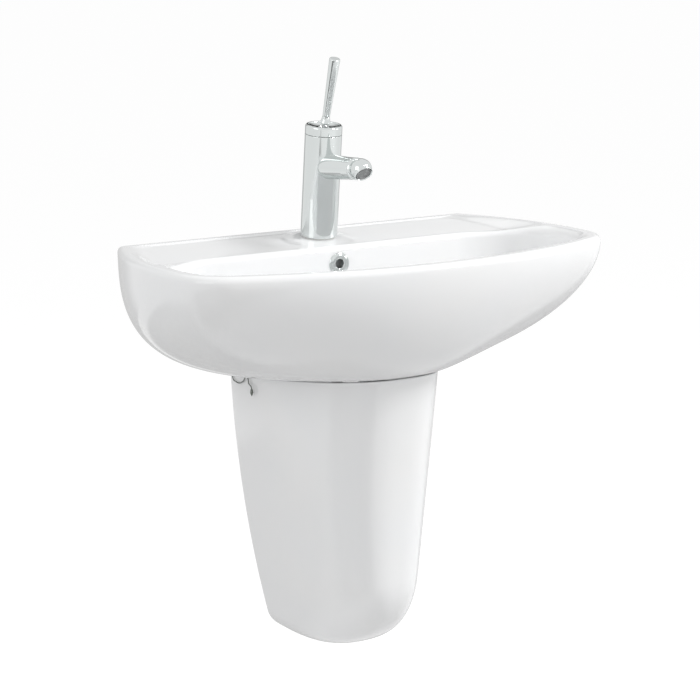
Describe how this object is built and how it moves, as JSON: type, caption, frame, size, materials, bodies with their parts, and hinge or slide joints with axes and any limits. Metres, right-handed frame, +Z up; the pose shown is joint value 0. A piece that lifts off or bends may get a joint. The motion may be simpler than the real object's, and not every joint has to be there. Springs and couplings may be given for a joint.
{
  "type": "wall-hung washbasin with semi-pedestal",
  "caption": "Wall-hung ceramic washbasin on a semi-pedestal, with a pin-lever mixer tap, swivel nozzle, overflow, push-open waste and bottle trap.",
  "frame": {"origin": "on the basin's flat back, at mid-width, level with the two wall studs", "axes": "+X to the right for someone who stands in front, +Y into the wall, +Z up; the front faces -Y"},
  "size_m": [0.5998, 0.377, 0.7806],
  "materials": {
    "glazed_ceramic": "white glaze, glossy",
    "chrome": "polished chrome plate",
    "aerator_mesh": "fine woven mesh",
    "brass": "bare machined brass",
    "steel": "zinc-plated steel",
    "dark_wire": "dark wire, satin",
    "rubber": "black rubber",
    "white_plastic": "white moulded plastic",
    "grey_plastic": "grey moulded plastic"
  },
  "bodies": {
    "sink": {"basin": "glazed_ceramic", "buffer_left_back": "rubber", "buffer_left_front": "rubber", "buffer_right_back": "rubber", "buffer_right_front": "rubber", "cartridge": "white_plastic", "cartridge_nut": "brass", "clamp_nut": "brass", "clamp_plate": "brass", "clamp_rubber": "rubber", "clip_bow": "dark_wire", "clip_drop": "dark_wire", "clip_tail": "dark_wire", "nozzle_ring": "chrome", "outlet_nut": "chrome", "outlet_pipe": "chrome", "overflow_ring": "chrome", "pedestal_nut_left": "steel", "pedestal_nut_right": "steel", "pedestal_stud_left": "steel", "pedestal_stud_right": "steel", "pedestal_washer_left": "steel", "pedestal_washer_right": "steel", "plug_guide": "grey_plastic", "semi_pedestal": "glazed_ceramic", "tap_body": "chrome", "tap_cap": "chrome", "tap_seal": "rubber", "tap_stud": "steel", "trap_cup": "chrome", "trap_head": "chrome", "trap_inlet_nut": "chrome", "trap_inlet_tube": "chrome", "trap_neck_nut": "chrome", "wall_bush_left": "white_plastic", "wall_bush_right": "white_plastic", "wall_flange": "chrome", "wall_nut_left": "steel", "wall_nut_right": "steel", "wall_stud_left": "steel", "wall_stud_right": "steel", "wall_washer_left": "steel", "wall_washer_right": "steel", "waste_back_nut": "brass", "waste_body": "chrome", "waste_lower_washer": "rubber", "waste_upper_seal": "rubber"},
    "lever_turn": {"lever_rosette": "chrome", "cartridge_spindle": "white_plastic", "lever_pivot_pin": "steel"},
    "lever": {"lever_stem": "steel", "lever_collar": "chrome", "lever_pin": "chrome"},
    "nozzle_turn": {"nozzle_ball": "brass"},
    "nozzle": {"nozzle_head": "chrome", "aerator": "aerator_mesh"},
    "plug": {"plug_cap": "chrome", "plug_stem": "brass"}
  },
  "joints": [
    {"name": "lever_swivel", "type": "hinge", "parent": "sink", "child": "lever_turn", "pos_m": [0, -0.07865, 0.21467], "axis": [0, -0.1392, 0.9903], "range_deg": [-45, 45]},
    {"name": "lever_tilt", "type": "hinge", "parent": "lever_turn", "child": "lever", "pos_m": [0, -0.07865, 0.21467], "axis": [1, 0, 0], "range_deg": [-25, 0]},
    {"name": "nozzle_swivel", "type": "hinge", "parent": "sink", "child": "nozzle_turn", "pos_m": [0, -0.17285, 0.17843], "axis": [0, -0.999, 0.0436], "range_deg": [-180, 180]},
    {"name": "nozzle_tilt", "type": "hinge", "parent": "nozzle_turn", "child": "nozzle", "pos_m": [0, -0.17285, 0.17843], "axis": [1, 0, 0], "range_deg": [-25, 0]},
    {"name": "plug_lift", "type": "slide", "parent": "sink", "child": "plug", "axis": [0, 0, 1], "range_m": [0, 0.007]}
  ]
}
